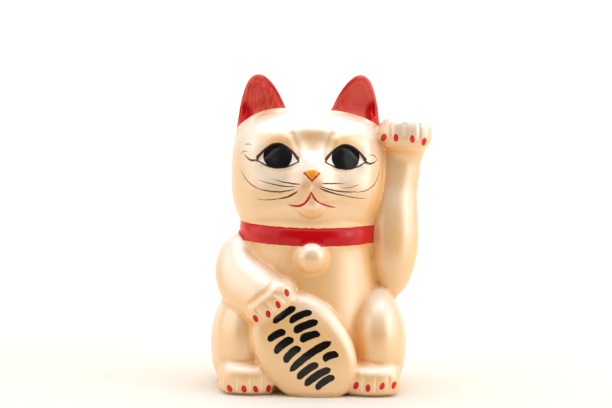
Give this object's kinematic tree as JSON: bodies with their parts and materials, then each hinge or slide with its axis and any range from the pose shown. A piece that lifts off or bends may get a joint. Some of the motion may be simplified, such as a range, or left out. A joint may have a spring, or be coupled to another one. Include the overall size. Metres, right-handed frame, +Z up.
{
  "type": "lucky cat figurine",
  "caption": "Seated ceramic lucky cat with one paw raised beside its ear, the other resting on an oval coin, with a collar and bell, standing flat on its underside.",
  "frame": {"origin": "on the flat underside, below the middle of the face", "axes": "+Z up along the height, the face looks along -Y, +X towards the cat's raised left paw"},
  "size_m": [0.1243, 0.1071, 0.1794],
  "materials": {
    "pearl_glaze": "champagne pearl lustre glaze on slip-cast ceramic, with red ears, collar and claws, black eyes and fine brush lines"
  },
  "bodies": {
    "root": {"lucky_cat": "pearl_glaze"}
  },
  "joints": []
}
